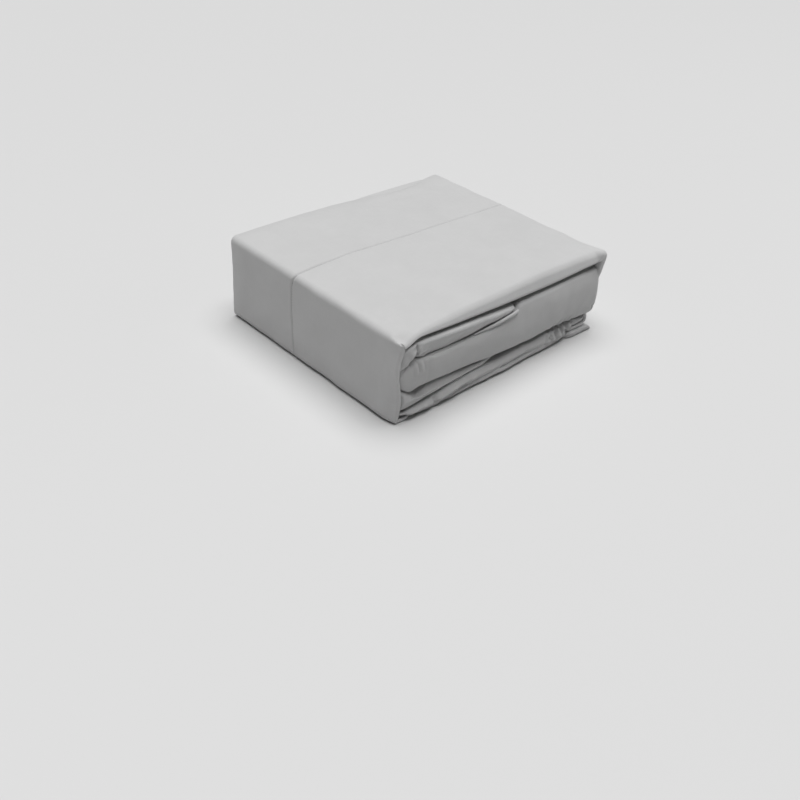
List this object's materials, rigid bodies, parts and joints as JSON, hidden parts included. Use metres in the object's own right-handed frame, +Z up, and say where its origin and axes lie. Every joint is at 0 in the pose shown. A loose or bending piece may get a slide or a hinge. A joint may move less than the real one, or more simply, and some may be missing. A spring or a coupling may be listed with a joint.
{
  "type": "folded bed sheet packet",
  "caption": "Neatly folded bed sheet packet: a flat sheet wrapped as a sleeve round doubled-over sheets and a pillowcase, with loose folds showing at the open front.",
  "frame": {"origin": "middle of the packet's box on the surface that it lies on", "axes": "+X along the packet's long side, away from the smooth side wall with the hem stitching; -Y out of the open front with the folds; +Z up"},
  "size_m": [0.282, 0.2402, 0.09],
  "materials": {
    "outer_cotton": "matt washed plain-weave cotton",
    "inner_cotton": "matt washed plain-weave cotton"
  },
  "bodies": {
    "root": {"outer_sheet": "outer_cotton", "inner_sheet": "inner_cotton", "pillowcase": "inner_cotton", "fitted_sheet": "inner_cotton"}
  },
  "joints": []
}
